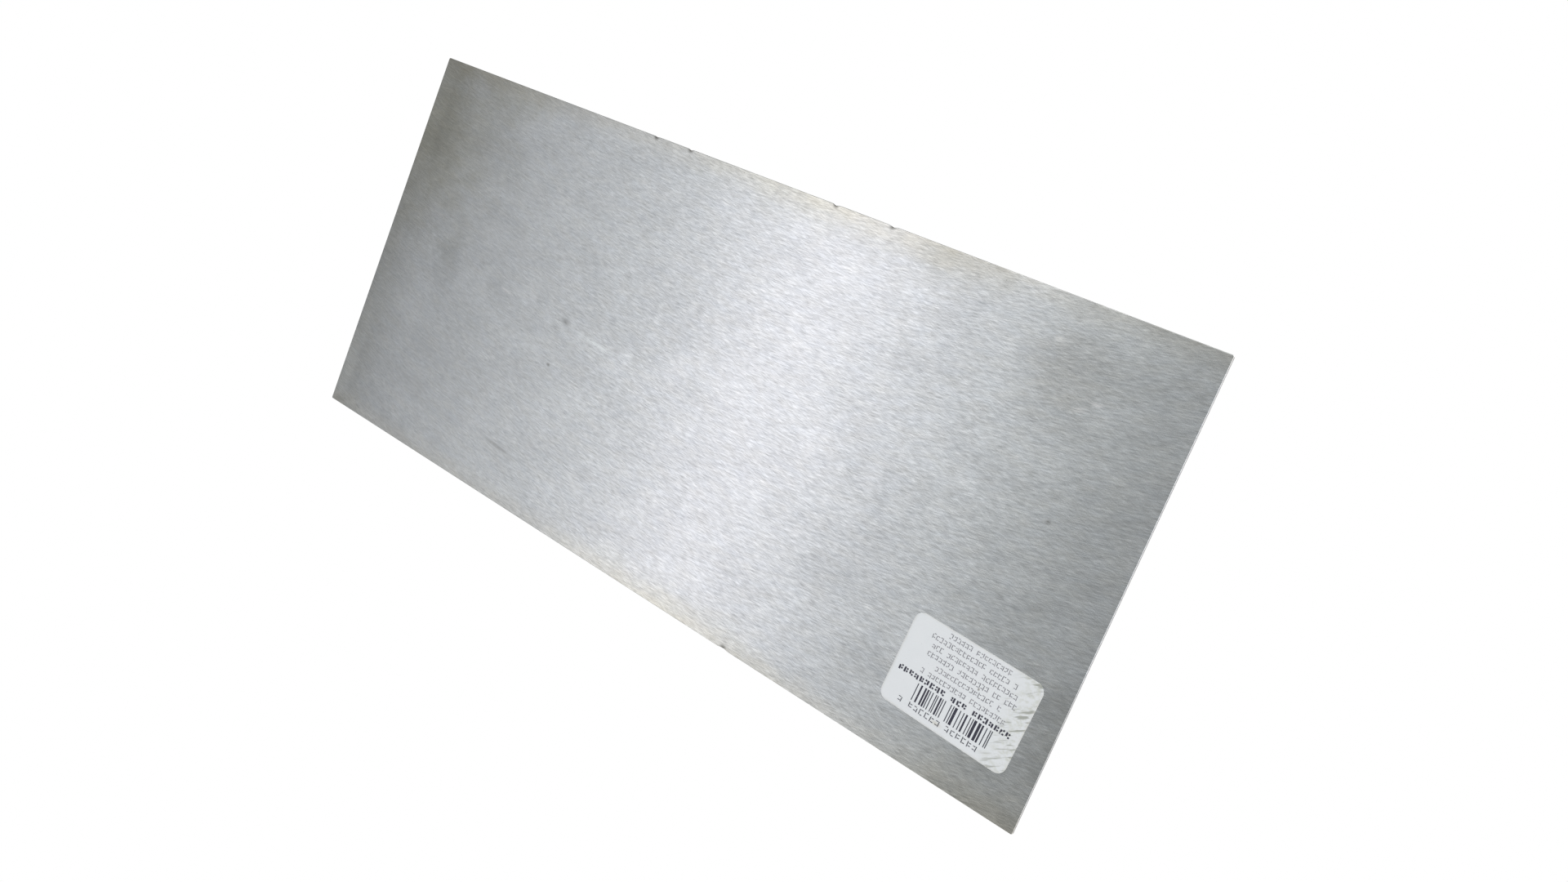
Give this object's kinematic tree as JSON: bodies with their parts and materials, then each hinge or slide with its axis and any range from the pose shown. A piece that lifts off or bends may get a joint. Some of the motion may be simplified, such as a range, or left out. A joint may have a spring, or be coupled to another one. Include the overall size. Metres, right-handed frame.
{
  "type": "smooth steel hand float",
  "caption": "Flat rectangular steel float blade with a riveted spine bar, two bent strap posts and a turned wooden grip held by a through bolt; paper label on the working face.",
  "frame": {"origin": "middle of the working face, which is also the middle of the bounding box's bottom", "axes": "+X along the blade's length towards the end with the label, +Y across the blade towards the long edge beside the label, +Z from the working face up to the grip"},
  "size_m": [0.28, 0.126, 0.0745],
  "materials": {
    "blade_steel": "short-stroke brushed steel sheet, slightly stained",
    "label_paper": "white coated paper, creased and slightly soiled",
    "spine_aluminium": "mill-finish extruded aluminium",
    "rivet_steel": "zinc-plated steel, hammered heads",
    "post_steel": "zinc-plated steel strap",
    "grip_wood": "turned beech, thin satin lacquer",
    "ferrule_plate": "pressed steel, dull nickel plate",
    "fastener_zinc": "bright zinc plate"
  },
  "bodies": {
    "root": {"blade": "blade_steel", "label": "label_paper", "spine_bar": "spine_aluminium", "rivet_1": "rivet_steel", "rivet_2": "rivet_steel", "rivet_3": "rivet_steel", "rivet_4": "rivet_steel", "rivet_5": "rivet_steel", "rivet_6": "rivet_steel", "rivet_7": "rivet_steel", "rivet_8": "rivet_steel", "rivet_9": "rivet_steel", "rivet_10": "rivet_steel", "rivet_11": "rivet_steel", "front_post": "post_steel", "rear_post": "post_steel", "grip": "grip_wood", "front_ferrule": "ferrule_plate", "rear_ferrule": "ferrule_plate", "handle_bolt": "fastener_zinc", "front_washer": "fastener_zinc", "rear_washer": "fastener_zinc", "spring_washer": "fastener_zinc", "handle_nut": "fastener_zinc"}
  },
  "joints": []
}
